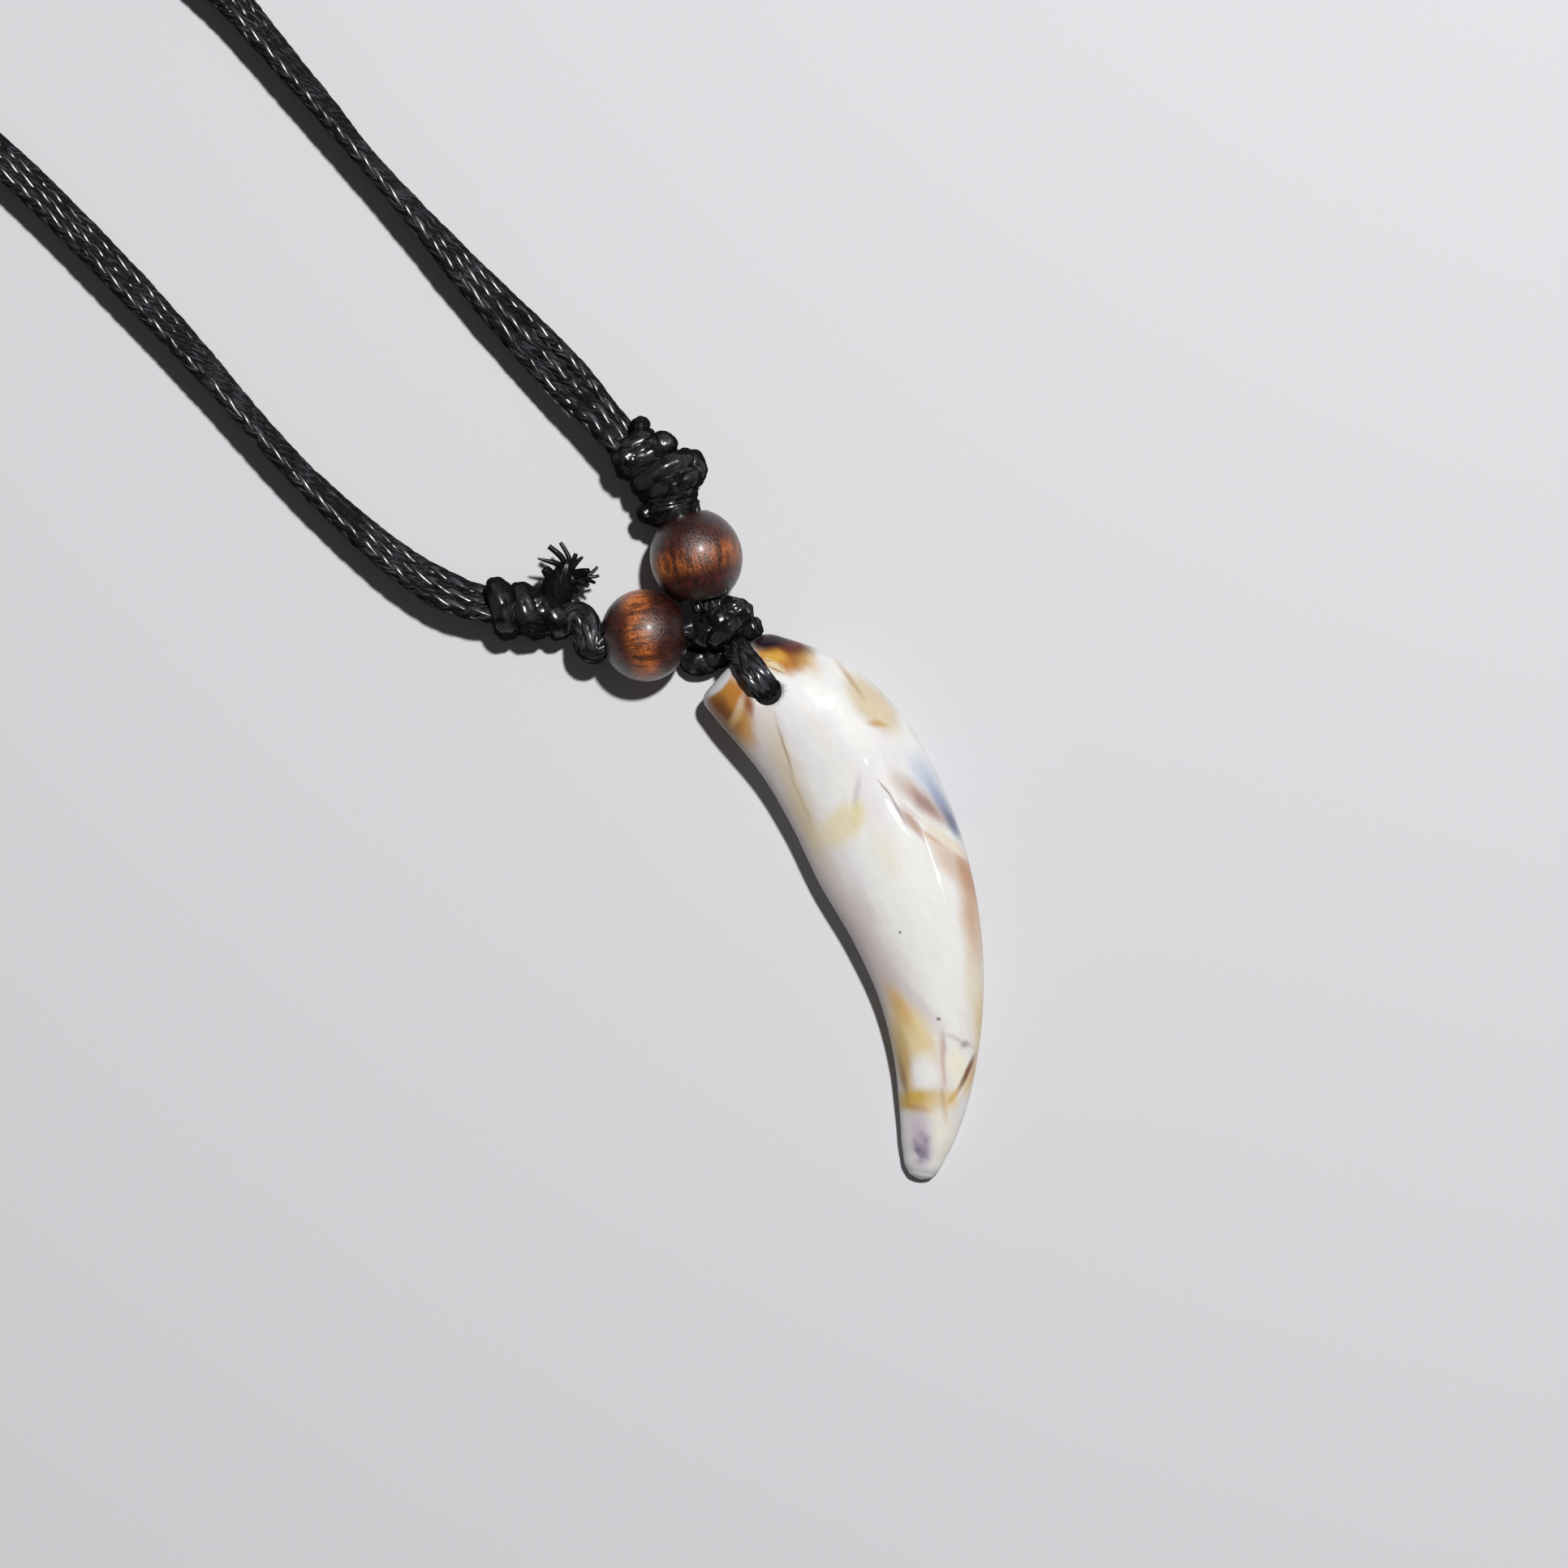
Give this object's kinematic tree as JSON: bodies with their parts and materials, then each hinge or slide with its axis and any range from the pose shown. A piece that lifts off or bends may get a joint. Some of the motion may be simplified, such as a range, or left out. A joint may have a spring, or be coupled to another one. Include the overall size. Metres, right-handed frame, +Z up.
{
  "type": "tooth pendant necklace",
  "caption": "Necklace of waxed braided strands with wrapped knots, lacquered wooden beads and one curved polished tooth hung through its drilled root, lying flat.",
  "frame": {"origin": "on the surface that the necklace lies on, under the middle of the box of the tooth, beads and knots", "axes": "+Z up from the surface, +Y up the page as seen from above, +X to the right, so the tooth points to -Y"},
  "size_m": [0.1671, 0.1123, 0.008],
  "materials": {
    "tooth": "polished",
    "bead": "lacquered",
    "cord": "waxed braid",
    "clasp": "satin"
  },
  "bodies": {
    "root": {"tooth_pendant": "tooth", "hanging_loop": "cord", "centre_knot": "cord", "bead_upper": "bead", "bead_lower": "bead", "bead_cord_upper": "cord", "bead_cord_lower": "cord", "left_knot": "cord", "frayed_tail": "cord", "right_knot": "cord", "back_clasp": "clasp", "neck_strand_left_1": "cord", "neck_strand_left_2": "cord", "neck_strand_left_3": "cord", "neck_strand_right_1": "cord", "neck_strand_right_2": "cord", "neck_strand_right_3": "cord"}
  },
  "joints": []
}
